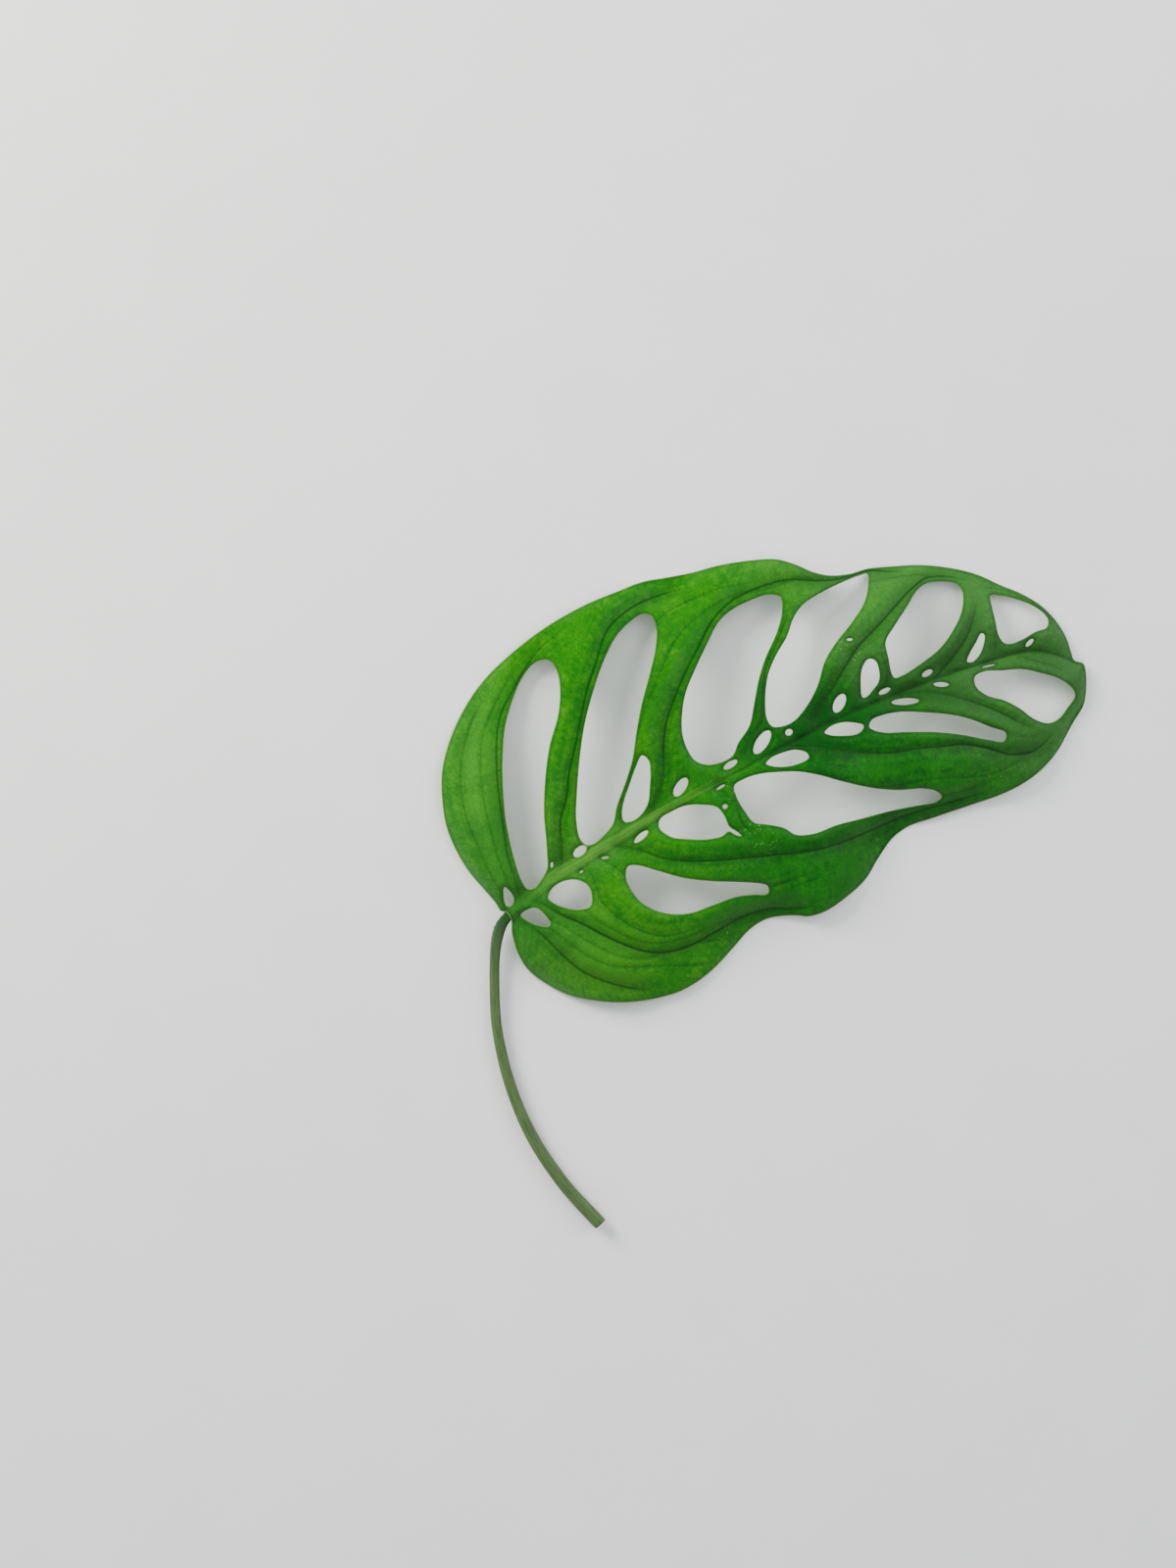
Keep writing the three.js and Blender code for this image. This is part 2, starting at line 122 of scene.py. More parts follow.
# Oval pinholes: x, y, length, width, degrees turned.
pinholes = [
    [28.7, 14.7, 2.8, 1.3, 60], [43, 15.2, 7.2, 4.2, 15], [96.9, 23.4, 10, 4.9, 32],
    [121.8, 23.6, 7.4, 3.1, 8], [139.2, 27.1, 12.6, 5.6, 33], [152.2, 26.3, 3.7, 3.2, 0],
    [178.7, 29.1, 9.4, 5.2, 40], [200, 25.8, 6, 2.5, 3], [221.3, 25.4, 5.6, 2.8, 6],
    [270.4, 19.1, 4.8, 2.3, 22], [194.6, 53.8, 3, 1.5, -20], [39.8, 6.4, 1.9, 1, 10],
    [52.3, 7.9, 3.6, 1.3, -15], [71.3, 10, 8.2, 2.9, 17], [113.6, 16, 4.8, 1.3, 8],
    [111.8, 7.2, 2.5, 2.3, 0], [206.7, 17.6, 12.8, 3.3, -20], [225.1, 18.1, 7.2, 2.4, -25],
    [248.7, 17, 6.6, 0.9, -11],
]

# The midrib, from the stalk to the tip.
midribPoints = [
    [-0.5, 0.6], [10, 4.6], [20, 7.6], [30, 9.8], [43, 11.3], [60, 13.3], [80, 16.2],
    [97, 17.9], [113, 19], [127, 19.7], [140, 21.1], [155, 21.7], [170, 22.9],
    [185, 23.1], [200, 22.5], [220, 22], [235, 20.8], [248, 19.3], [260, 17.9],
    [270, 15.3], [280, 9], [287.5, 1.6],
]

# The stalk, from its cut end to the knee under the blade.
stalkPoints = [
    [-18, -146], [-26, -122], [-30.5, -96], [-30, -70], [-25, -44], [-18, -25.5],
    [-12.2, -13], [-8.2, -6.3], [-4.2, -1.7], [-0.5, 0.6],
]

# veins: how strongly each is sunk, and its route from the midrib outwards
sideVeins = [
    (0.8, [(8, 5), (9.7, 9.3), (12.3, 28), (15, 38), (23, 64), (33, 84.7), (43, 94), (62, 107), (75, 111)]),
    (0.45, [(4, 4), (1.5, 20), (1.2, 39), (1.7, 51), (5, 65), (13, 80), (25, 93), (40, 102.5)]),
    (1.0, [(31, 10), (33, 13.3), (36.7, 22), (40.3, 31.3), (47.7, 40.7), (53, 50), (61, 60.7), (69, 72),
           (76.3, 82), (85, 91.5), (92.7, 100.5), (98, 104.3), (111, 108), (125, 108), (142, 105)]),
    (1.0, [(76, 16.5), (83, 21), (89, 27.3), (93, 34), (97, 43.3), (103, 53.3), (111, 62), (120.3, 70.7),
           (131, 79.3), (140.3, 86.7), (151.7, 91.7), (163, 92.8), (180, 90.7), (193.3, 84.5), (200, 82),
           (208, 80.6), (216, 79.8), (226, 75), (238, 71)]),
    (0.4, [(64, 15.5), (65.5, 21), (68.3, 27.3), (75.4, 34.9), (82, 42.2), (88, 49), (95, 57)]),
    (0.35, [(260, 52), (270, 46.3), (277.5, 38.8), (282.6, 31), (285, 24), (285, 12)]),
    (0.7, [(127, 21), (135, 31.5), (142, 35), (145, 41), (150, 50.5), (155.5, 59), (163, 65.5),
           (171, 73), (177, 80), (185, 83)]),
    (1.0, [(163, 23), (170, 30.7), (180.3, 38), (189.7, 44.7), (197, 49.3), (208.3, 54), (220.3, 59.3),
           (230.3, 63.5), (240, 65.5), (250, 61.5), (262, 53)]),
    (0.6, [(200, 24), (204, 32), (206, 44), (209, 52)]),
    (0.9, [(223.7, 22), (233.7, 26.7), (243.7, 32.7), (250.3, 39.3), (256.3, 46.7), (262, 50)]),
    (0.5, [(252, 19.5), (256, 26), (256.5, 34), (259, 43)]),
    (0.8, [(2, 0), (9, -8), (11.7, -12.7), (15.3, -22), (19, -30.7), (23, -37.3), (33, -47.3),
           (43.7, -54.7), (57, -59.5)]),
    (1.0, [(12, 4), (18.3, -0.7), (23.7, -8), (31, -16), (37.7, -24.5), (45, -32.7), (50.3, -37.7),
           (59.7, -43), (71.7, -45), (85, -44), (100.3, -42.8), (112.3, -44.7), (123, -49.3), (140, -52.7)]),
    (0.5, [(43, 10.5), (43.5, 0), (43, -10), (46.3, -18), (50.3, -25), (60.3, -34.7), (72, -38), (90, -38)]),
    (1.0, [(56, 12), (61, 9.7), (69, 4), (76.3, -2.7), (85, -8), (96.3, -13), (107, -16.7), (123, -22),
           (135, -26), (148.3, -29), (168, -30.3), (185, -30.5), (198.3, -32), (215, -34.3), (232, -36)]),
    (0.6, [(112, 18), (115, 10), (116.3, 5), (116, -4), (120, -12), (128, -20)]),
    (1.0, [(148, 21), (160, 15), (170.3, 8.7), (181, 3.3), (191.7, -1.3), (202.3, -4), (213, -7.7),
           (223.7, -11.3), (233, -17.3), (241.7, -24.3), (251.7, -27), (261.7, -24.3), (270, -19.5)]),
    (0.9, [(200, 22), (215.7, 18.7), (225, 13.3), (233, 6.7), (240.3, 0), (247, -7.3), (253.7, -15.3),
           (262, -21)]),
    (0.5, [(262, 17), (270, 10), (277, 4), (283, -4), (283, -11)]),
]

# faint side veins that run between two of the strong ones: (one, other, share of the way)
faintVeins = [(0, 1, 0.45), (2, 3, 0.3), (2, 3, 0.68), (7, 3, 0.4), (9, 7, 0.5), (11, 12, 0.3),
              (11, 12, 0.62), (12, 13, 0.35), (13, 14, 0.4), (14, 16, 0.3), (14, 16, 0.62), (17, 16, 0.45)]


def spanBetween(before, start, end, after, count=16):
    # places on the centripetal curve from start up to end
    pairs = ((before, start), (start, end), (end, after))
    gaps = [max(np.linalg.norm(b - a), 1e-6) ** 0.5 for a, b in pairs]
    leave = (start - before) / gaps[0] - (end - before) / (gaps[0] + gaps[1]) + (end - start) / gaps[1]
    arrive = (end - start) / gaps[1] - (after - start) / (gaps[1] + gaps[2]) + (after - end) / gaps[2]
    t = np.linspace(0, 1, count, endpoint=False)[:, None]
    return ((2 * t**3 - 3 * t**2 + 1) * start + (t**3 - 2 * t**2 + t) * leave * gaps[1]
            + (3 * t**2 - 2 * t**3) * end + (t**3 - t**2) * arrive * gaps[1])


def evenly(line, step):
    run = np.concatenate([[0], np.cumsum(np.linalg.norm(np.diff(line, axis=0), axis=1))])
    stops = np.linspace(0, run[-1], max(2, round(run[-1] / step)) + 1)
    return np.column_stack([np.interp(stops, run, line[:, k]) for k in range(line.shape[1])])


def smoothLine(points, closed=False, step=1):
    corners = np.array(points, float)
    if closed:
        ring = np.vstack([corners[-1], corners, corners[:2]])
    else:
        ring = np.vstack([2 * corners[0] - corners[1], corners, 2 * corners[-1] - corners[-2]])
    spans = [spanBetween(*ring[i : i + 4]) for i in range(len(ring) - 3)]
    line = evenly(np.vstack(spans + [ring[-2:-1]]), step)
    return line[:-1] if closed else line


def ovalLine(x, y, length, width, degrees, step):
    turn = math.radians(degrees)
    count = max(10, round(math.pi * (length + width) / 2 / step))
    angles = np.linspace(0, 2 * math.pi, count, endpoint=False)
    along, across = length / 2 * np.cos(angles), width / 2 * np.sin(angles)
    return np.column_stack([x + along * math.cos(turn) - across * math.sin(turn),
                            y + along * math.sin(turn) + across * math.cos(turn)])


def treeOf(places):
    tree = kdtree.KDTree(len(places))
    for i, (x, y) in enumerate(places):
        tree.insert((x, y, 0), i)
    tree.balance()
    return tree


def nearestOn(line, places, closed=False):
    # how far each place is from the line, and how far along the line its nearest point lies
    tree = treeOf(line)
    pick = np.array([tree.find((x, y, 0))[1] for x, y in places])
    step = np.linalg.norm(line[1] - line[0])
    distance = np.full(len(places), np.inf)
    along = np.zeros(len(places))
    for side in (-1, 0):
        first = (pick + side) % len(line) if closed else np.clip(pick + side, 0, len(line) - 2)
        start, end = line[first], line[(first + 1) % len(line)]
        reach = end - start
        share = np.clip(((places - start) * reach).sum(1) / (reach**2).sum(1), 0, 1)
        gap = np.linalg.norm(places - start - share[:, None] * reach, axis=1)
        closer = gap < distance
        distance[closer] = gap[closer]
        along[closer] = ((first + share) * step)[closer]
    return distance, along


def looseFrom(places, taken, gap):
    # the places that lie further than gap from all that are taken
    tree = treeOf(taken)
    return np.array([p for p in places if tree.find((p[0], p[1], 0))[2] > gap])


def insideOf(loops, places):
    inside = np.zeros(len(places), bool)
    x, y = places.T
    for loop in loops:
        for a, b in zip(loop, np.roll(loop, -1, axis=0)):
            level = (a[1] > y) != (b[1] > y)
            inside[level] ^= x[level] < (b[0] - a[0]) * (y[level] - a[1]) / (b[1] - a[1]) + a[0]
    return inside


def ease(value, low, high):
    t = np.clip((value - low) / (high - low), 0, 1)
    return t * t * (3 - 2 * t)


def bump(distance, width):
    return np.exp(-((distance / width) ** 2))


# how the blade lies, as the solid model has it
layFacts = {
    "length": 290, "midribAtBase": 9, "midribAtCrest": 17, "midribAtTip": 4, "crest": 0.42,
    "crown": 6, "wave": 3,
    "fullFall": 26,  # where the margin is nearer the midrib than this, it falls less
    "waveLevel": 1.1,
    "waves": [(1, 0.062, 0.021, 0.4), (0.45, 0.117, -0.052, 1.9)],  # share, turns along x and y, start
}


def midribHeight(x):
    along = np.clip(x / layFacts["length"], 0, 1)
    crest = layFacts["crest"]
    climbing = along < crest
    end = np.where(climbing, layFacts["midribAtBase"], layFacts["midribAtTip"])
    reach = np.where(climbing, (crest - along) / crest, (along - crest) / (1 - crest))
    return layFacts["midribAtCrest"] - (layFacts["midribAtCrest"] - end) * reach**2


def bladeHeight(places, fromMidrib, fromMargin):
    x, y = places.T
    width = fromMidrib + fromMargin
    share = fromMidrib / np.maximum(width, 1e-6)
    room = ease(width, 0, layFacts["fullFall"])
    fall = room * share**2
    wave = layFacts["waveLevel"] + sum(
        size * np.sin(alongX * x + alongY * y + start) for size, alongX, alongY, start in layFacts["waves"])
    return (midribHeight(x) * (1 - fall) + room * layFacts["crown"] * np.sin(math.pi * share)
            + layFacts["wave"] * wave * fall)


bladeFacts = {
    "cell": 1.08,  # spacing of the blade's points
    "edgeStep": 0.85,  # spacing along the margin and the windows
    "veinStep": 0.8,  # least spacing along the veins
    "midribRow": 1.3,  # from the midrib to the row of points at each side of it
    "veinGap": 0.54, "gridGap": 0.6264, "middleGap": 0.42,  # points nearer than this to others are left out
    "thickness": 0.45,
    "clearance": 0.05,  # between the blade and the surface where it touches
    "veinDepth": 0.6, "veinWidth": 0.75,
    "veinTaper": 22,  # each vein fades out over this length
    "valleyDepth": 1.5, "valleyWidth": 5,  # the tissue slopes down to each vein
    "faintStrength": 0.29, "faintDepth": 0.3, "faintWidth": 0.8,  # veins between the strong ones
    "faintValley": 0.16, "faintValleyWidth": 2.6,
    "edgeRoll": 0.9, "edgeRollWidth": 1.7,
    "puff": 0.4, "widePuffs": 9, "smallPuffs": 3.6,  # uneven swelling of the tissue
    "ridge": 1.35, "ridgeWidth": 2.2, "ridgeEnd": (40, 170),  # the midrib's raised stretch
    "groove": 0.8, "grooveWidth": 0.9, "grooveStart": (60, 170), "grooveEnd": (262, 284),
    "veinRidge": 0.9,  # how far side veins stand out underneath
    "keelRadius": [(0, 2.5), (120, 1.7), (300, 0.8)],  # of the midrib underneath, along its length
    "keel": 1.5, "keelEnd": (258, 282),
    "rimBulge": 0.16,
}


def bladeOutlines():
    step = bladeFacts["edgeStep"]
    loops = [smoothLine(points, True, step) for points in [marginPoints] + windowPoints + smallWindowPoints]
    return loops + [ovalLine(*hole, step) for hole in pinholes]


def veinRoutes():
    routes = [(strength, smoothLine(points)) for strength, points in sideVeins]
    places = np.linspace(0, 1, 60)
    for one, other, share in faintVeins:
        mixed = 0
        for number, weight in ((one, 1 - share), (other, share)):
            line = evenly(routes[number][1], 1)
            run = np.linspace(0, 1, len(line))
            mixed = mixed + weight * np.column_stack([np.interp(places, run, line[:, k]) for k in (0, 1)])
        routes.append((bladeFacts["faintStrength"], evenly(mixed, 1)))
    return routes


def gridPlaces(low, high):
    # rows of points, every other row set half a cell along
    cell = bladeFacts["cell"]
    rows = []
    for i, y in enumerate(np.arange(low[1], high[1], cell * 0.866)):
        x = np.arange(low[0] + (i % 2) * cell / 2, high[0], cell)
        rows.append(np.column_stack([x, np.full(len(x), y)]))
    return np.vstack(rows)


def veinPlaces(veins):
    # points on the midrib, at each side of it and on the veins, thinned where they crowd
    rib = smoothLine(midribPoints)
    aside = bladeFacts["midribRow"] * np.gradient(rib, axis=0)[:, ::-1] * (-1, 1)
    step = bladeFacts["veinStep"]
    kept = {}
    for x, y in np.vstack([rib, rib + aside, rib - aside] + [line for strength, line in veins]):
        kept.setdefault((round(x / step), round(y / step)), (x, y))
    return np.array(list(kept.values()))


def neighbours(ring):
    # each point of a closed ring with the next one
    return list(zip(ring, [*ring[1:], ring[0]]))


def ringsOf(loops):
    # the numbers of each outline's points, counted on from one outline to the next
    ends = np.cumsum([len(loop) for loop in loops])
    return [range(end - len(loop), end) for end, loop in zip(ends, loops)]


def fillBlade(loops, veins):
    # a flat net of triangles that follows the outlines and has a row of points along each vein
    facts = bladeFacts
    edgePoints = np.vstack(loops)
    onVeins = veinPlaces(veins)
    onVeins = looseFrom(onVeins[insideOf(loops, onVeins)], edgePoints, facts["veinGap"])
    grid = gridPlaces(edgePoints.min(0), edgePoints.max(0))
    grid = looseFrom(grid[insideOf(loops, grid)], np.vstack([edgePoints, onVeins]), facts["gridGap"])
    places = np.vstack([edgePoints, onVeins, grid])
    edges = [pair for ring in ringsOf(loops) for pair in neighbours(ring)]
    for narrowStrips in (True, False):
        corners, _, faces, fromPoints, _, _ = geometry.delaunay_2d_cdt(
            [Vector(p) for p in places], edges, [], 0, 1e-6)
        net = np.array([tuple(c) for c in corners])
        triangles = np.array(faces)
        onEdge = np.array([min(ids, default=len(places)) < len(edgePoints) for ids in fromPoints])
        rim = onEdge[triangles].all(1)
        keep = ~rim
        keep[rim] = insideOf(loops, net[triangles[rim]].mean(1))
        if narrowStrips:  # a strip with no points of its own gets some along its middle
            middles = looseFrom(net[triangles[rim & keep]].mean(1), edgePoints, facts["middleGap"])
            places = np.vstack([places, middles])
    place = {i: k for k, ids in enumerate(fromPoints) for i in ids}
    return net, triangles[keep], [[place[i] for i in ring] for ring in ringsOf(loops)]


def settled(triangles, owner, alongVein):
    # 0 where neighbouring points belong to different veins, rising to 1 away from there
    calm = np.ones(len(owner))
    split = np.ptp(owner[triangles], axis=1) > 0
    split |= np.ptp(alongVein[triangles], axis=1) > 3
    calm[triangles[split].ravel()] = 0
    for level in (0.4, 0.8):
        near = (calm[triangles] < level).any(1)
        ring = np.unique(triangles[near].ravel())
        calm[ring] = np.minimum(calm[ring], level)
    return calm


def measureBlade(net, triangles, loops, veins):
    # the distances that shape and colour the blade, for every point of the net
    facts = bladeFacts
    fromMargin = nearestOn(loops[0], net, True)[0]
    fromWindow = np.min([nearestOn(loop, net, True)[0] for loop in loops[1:]], axis=0)
    fromMidrib, alongMidrib = nearestOn(smoothLine(midribPoints), net)
    vein, valleyShade, faint, alongVein, veinStrength, beyond = np.zeros((6, len(net)))
    fromVein = np.full(len(net), np.inf)
    owner = np.zeros(len(net), int)
    for number, (strength, line) in enumerate(veins):
        distance, along = nearestOn(line, net)
        ending = ease(len(line) - 1 - along, 0, facts["veinTaper"]) * ease(along, -2, 6)
        if strength > facts["faintStrength"]:
            vein = np.maximum(vein, strength * ending * bump(distance, facts["veinWidth"]))
            slope = strength * ending * bump(distance, facts["valleyWidth"])
        else:
            faint = np.maximum(faint, ending * bump(distance, facts["faintWidth"]))
            slope = facts["faintValley"] * ending * bump(distance, facts["faintValleyWidth"])
        valleyShade = np.maximum(valleyShade, slope)
        closer = distance < fromVein
        fromVein[closer] = distance[closer]
        alongVein[closer] = along[closer]
        veinStrength[closer] = (strength * ending)[closer]
        owner[closer] = number
        pastEnd = (along <= 0) | (along >= along.max())
        beyond[closer] = (pastEnd * distance)[closer]
    calm = settled(triangles, owner, alongVein) * (1 - ease(beyond, 0.5, 4))
    return {"fromMargin": fromMargin, "fromEdge": np.minimum(fromMargin, fromWindow),
            "fromMidrib": fromMidrib, "alongMidrib": alongMidrib, "vein": vein, "valleyShade": valleyShade,
            "faint": faint, "fromVein": fromVein, "alongVein": alongVein,
            "veinStrength": veinStrength, "calm": calm}


def shapeBlade(net, size):
    # heights of the face and of the underside at every point of the net
    facts = bladeFacts
    x = net[:, 0]
    rib, edge = size["fromMidrib"], size["fromEdge"]
    top = bladeHeight(net, rib, size["fromMargin"])
    inner = ease(edge, 0, 5)
    top -= facts["valleyDepth"] * size["valleyShade"] * (0.35 + 0.65 * inner)
    top -= facts["veinDepth"] * size["vein"]
    top -= facts["faintDepth"] * size["faint"]
    top -= facts["edgeRoll"] * bump(edge, facts["edgeRollWidth"])
    wide, small = facts["widePuffs"], facts["smallPuffs"]
    lumps = np.array([noise.noise(Vector((px / wide, py / wide, 0)))
                      + 0.4 * noise.noise(Vector((px / small, py / small, 5))) for px, py in net])
    top += facts["puff"] * lumps * inner
    raised = facts["ridge"] * (1 - ease(x, *facts["ridgeEnd"])) * bump(rib, facts["ridgeWidth"])
    grooved = ease(x, *facts["grooveStart"]) * (1 - ease(x, *facts["grooveEnd"]))
    top += raised - facts["groove"] * grooved * bump(rib, facts["grooveWidth"])
    # underneath, the midrib and the side veins stand out
    radius = np.interp(size["alongMidrib"], *zip(*facts["keelRadius"]))
    depth = facts["thickness"] + ease(edge, 0, 1.6) * facts["veinRidge"] * size["vein"]
    keel = facts["keel"] * radius * (1 - ease(x, *facts["keelEnd"])) * ease(edge, -0.5, 1.5)
    depth += keel * bump(rib, 0.8 * radius)
    return top, top - depth


def addObject(name, data):
    made = bpy.data.objects.new(name, data)
    bpy.context.collection.objects.link(made)
    return made


def addPiece(name, points, faces, paints, paintOf=None):
    mesh = bpy.data.meshes.new(name)
    mesh.from_pydata([tuple(p) for p in points * mm], [], faces)
    for paint in paints:
        mesh.materials.append(paint)
    if paintOf is not None:
        mesh.polygons.foreach_set("material_index", paintOf)
    mesh.polygons.foreach_set("use_smooth", [True] * len(faces))
    return addObject(name, mesh)


def storeOn(piece, name, values):
    layer = piece.data.attributes.new(name, "FLOAT", "POINT")
    layer.data.foreach_set("value", np.asarray(values, float))


def planOffset(loops):
    # moves the plan into the frame: the solid blade's lowest x and y are those of its margin
    bladeLow, bladeHigh = (np.array(corner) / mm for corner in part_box("leaf_blade"))
    stalkLow = np.array(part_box("leaf_stalk")[0]) / mm
    middle = (loops[0].min(0) + loops[0].max(0)) / 2
    return np.array([*((bladeLow + bladeHigh)[:2] / 2 - middle), stalkLow[2]])


# how sunlit the tissue looks, from 0, deep green, to 1, yellow green
sunFacts = {
    "level": 0.62,
    "lowerRight": 0.45, "rightFrom": (70, 170), "lowerFrom": (30, 75),
    "nearTip": 0.02, "tipFrom": (190, 260),
    "midrib": 0.3, "midribWidth": 12, "midribFrom": (115, 160),
}
# where the green is greyed by a painted sheen, a veil of reflected light
paintedSheenFacts = {
    "base": 0.24, "baseTo": (10, 60),
    "tip": 0.42, "tipFrom": (190, 262),
    "midrib": 0.36, "midribWidth": 8, "midribMiddle": 52, "midribLength": 25,
}
# places that differ from that, and where pale specks gather: x, y, spread, strength
sunPatches = [(190, 50, 30, 0.07), (36, -38, 26, 0.25), (0, 1, 14, -0.5), (88, 88, 26, -0.13),
              (128, 98, 16, -0.12), (108, 66, 14, -0.08), (15, 62, 18, 0.1), (250, 52, 18, -0.1),
              (218, 62, 16, -0.09), (216, -28, 18, 0.12), (62, -46, 14, 0.06)]
paintedSheenPatches = [(192, 46, 13, 0.3)]
speckPatches = [(120, -6, 5, 1), (122, -15, 5, 1), (117, 12, 3.5, 1), (112, 17, 3, 1), (194, 47, 4, 1),
                (189, 53, 3.5, 1), (86, -47, 5, 1), (232, -32, 4, 1), (58, 92, 3, 1)]


def paintMaps(net, size):
    # values on the blade's points that its paint reads
    x, y = net.T
    rib = size["fromMidrib"]

    def patchesAt(patches):
        return sum(strength * bump(np.hypot(x - px, y - py), spread) for px, py, spread, strength in patches)

    facts = sunFacts
    right, lower = ease(x, *facts["rightFrom"]), 1 - ease(y, *facts["lowerFrom"])
    sun = facts["level"] - facts["lowerRight"] * right * lower
    sun += facts["nearTip"] * ease(x, *facts["tipFrom"])
    sun -= facts["midrib"] * bump(rib, facts["midribWidth"]) * ease(x, *facts["midribFrom"])
    facts = paintedSheenFacts
    # the painted sheen: greyed green near the stalk, at the tip and along the midrib
    paintedSheen = facts["base"] * (1 - ease(x, *facts["baseTo"]))
    paintedSheen += facts["tip"] * ease(x + 0.5 * y, *facts["tipFrom"])
    onMidrib = bump(rib, facts["midribWidth"]) * bump(x - facts["midribMiddle"], facts["midribLength"])
    paintedSheen += facts["midrib"] * onMidrib
    return {"sun": sun + patchesAt(sunPatches), "paintedSheen": paintedSheen + patchesAt(paintedSheenPatches),
            "specks": patchesAt(speckPatches)}


def rimRow(net, middle, rings, loops):
    # the rim's middle row stands a little proud of the two faces
    row = []
    for ring, loop in zip(rings, loops):
        ahead = np.roll(loop, -1, axis=0) - np.roll(loop, 1, axis=0)
        area = (loop[:, 0] * np.roll(loop[:, 1], -1) - np.roll(loop[:, 0], -1) * loop[:, 1]).sum()
        outward = np.column_stack([ahead[:, 1], -ahead[:, 0]]) / np.linalg.norm(ahead, axis=1)[:, None]
        outward *= bladeFacts["rimBulge"] * (1 if area > 0 else -1) * (1 if loop is loops[0] else -1)
        row += [(*(net[i] + push), middle[i]) for i, push in zip(ring, outward)]
    return row


def bladeFaces(triangles, rings, count):
    # the face, the underside, and two strips of quads round each outline
    corners = triangles.tolist()
    faces = [tuple(t) for t in corners] + [(a + count, c + count, b + count) for a, b, c in corners]
    paintOf = [0] * len(corners) + [1] * len(corners)
    sides = {(t[i], t[(i + 1) % 3]) for t in corners for i in range(3)}
    start = 2 * count
    for ring in rings:
        row = range(start, start + len(ring))
        start += len(ring)
        for (a, b), (c, d) in zip(neighbours(ring), neighbours(row)):
            if (a, b) not in sides:
                a, b, c, d = b, a, d, c
            faces += [(b, a, c, d), (d, c, a + count, b + count)]
            paintOf += [0, 1]
    return faces, paintOf


def growBlade(paints):
    loops = bladeOutlines()
    veins = veinRoutes()
    net, triangles, rings = fillBlade(loops, veins)
    size = measureBlade(net, triangles, loops, veins)
    top, under = shapeBlade(net, size)
    offset = planOffset(loops)
    lift = np.maximum(0, bladeFacts["clearance"] - under - offset[2])
    top, under = top + lift, under + lift
    rim = rimRow(net, (top + under) / 2, rings, loops)
    points = np.vstack([np.column_stack([net, top]), np.column_stack([net, under]), rim]) + offset
    faces, paintOf = bladeFaces(triangles, rings, len(net))
    blade = addPiece("leafBlade", points, faces, paints, paintOf)
    onRim = [i for ring in rings for i in ring]
    for name, values in {**size, **paintMaps(net, size)}.items():
        storeOn(blade, name, np.concatenate([values, values, values[onRim]]))
    print("blade:", len(points), "points,", len(faces), "faces")
    return blade, offset


stalkFacts = {
    "cutRadius": 3.1, "neckRadius": 2.35, "kneeRadius": 2.75,
    "kneeFrom": (0.8, 0.9), "creasesFrom": (0.84, 0.9), "creasesTo": (0.95, 1),  # shares of its length
    "narrowing": [(0.4, 0.9, 0.95), (1.3, 0.95, 1)],  # by how much, from and to which share of its length
    "rest": 3.1,  # height of its middle where it lies on the surface
    "rise": [0, 0, 0, 0, 0.04, 0.19, 0.45, 0.69, 0.9, 1],  # share of the climb to the blade, point by point
    "underBlade": 2,  # from the blade's face down to its middle, at the joint
    "insideMidrib": [(4, 2.3, 0.7), (9, 4.2, 1)],  # where it runs on to: x, y, and how far it sinks
    "step": 0.45, "sides": 40,
    "channel": 0.13, "channelWidth": 0.42,  # the groove along its upper side, in shares of the radius
    "creases": 0.035, "creaseTurns": 2.6,  # wrinkles round the knee
    "ribs": 13, "ribHeight": 0.008,
    "uneven": 0.02,
    "cutEdge": (0.955, 0.985, 0.998),  # the edge of the cut is not quite sharp
    "cutRings": 9, "cutDish": 0.22,
}


def stalkRadius(share):
    facts = stalkFacts
    neck = facts["neckRadius"]
    radius = facts["cutRadius"] + (neck - facts["cutRadius"]) * ease(share, 0, facts["kneeFrom"][0])
    radius += (facts["kneeRadius"] - neck) * ease(share, *facts["kneeFrom"])
    for loss, start, end in facts["narrowing"]:
        radius -= loss * ease(share, start, end)
    return float(radius)


def stalkLine():
    # the middle of the stalk, from its cut end to where it runs on inside the midrib
    facts = stalkFacts
    tip = np.array(stalkPoints[-1:], float)
    fromMidrib = nearestOn(smoothLine(midribPoints), tip)[0]
    fromMargin = nearestOn(smoothLine(marginPoints, True), tip, True)[0]
    joint = float(bladeHeight(tip, fromMidrib, fromMargin)[0]) - facts["underBlade"]
    climb = joint - facts["rest"]
    route = [(x, y, facts["rest"] + climb * rise) for (x, y), rise in zip(stalkPoints, facts["rise"])]
    route += [(x, y, joint - drop) for x, y, drop in facts["insideMidrib"]]
    return evenly(smoothLine(route, False, 0.4), facts["step"])


def stalkSkin(i, share, angles):
    # how far the skin is from the stalk's middle, all the way round, at ring number i
    facts = stalkFacts
    radius = stalkRadius(share) * (1 + facts["uneven"] * noise.noise(Vector((i * 0.03, 0, 0))))
    atKnee = float(ease(share, *facts["creasesFrom"]) * (1 - ease(share, *facts["creasesTo"])))
    crease = facts["creases"] * math.sin(i * facts["step"] * facts["creaseTurns"]) * atKnee
    skin = radius * (1 + crease * (0.6 + 0.4 * np.cos(angles)))
    inChannel = bump(np.abs(angles - math.pi / 2), facts["channelWidth"])
    skin *= 1 - facts["channel"] * inChannel * (0.5 + 0.5 * share)
    skin *= 1 + facts["ribHeight"] * np.cos(facts["ribs"] * angles + 0.02 * i)
    return skin * facts["cutEdge"][i] if i < len(facts["cutEdge"]) else skin


def band(near, far):
    # quads between two rings of points
    return [(a, b, d, c) for (a, b), (c, d) in zip(neighbours(near), neighbours(far))]


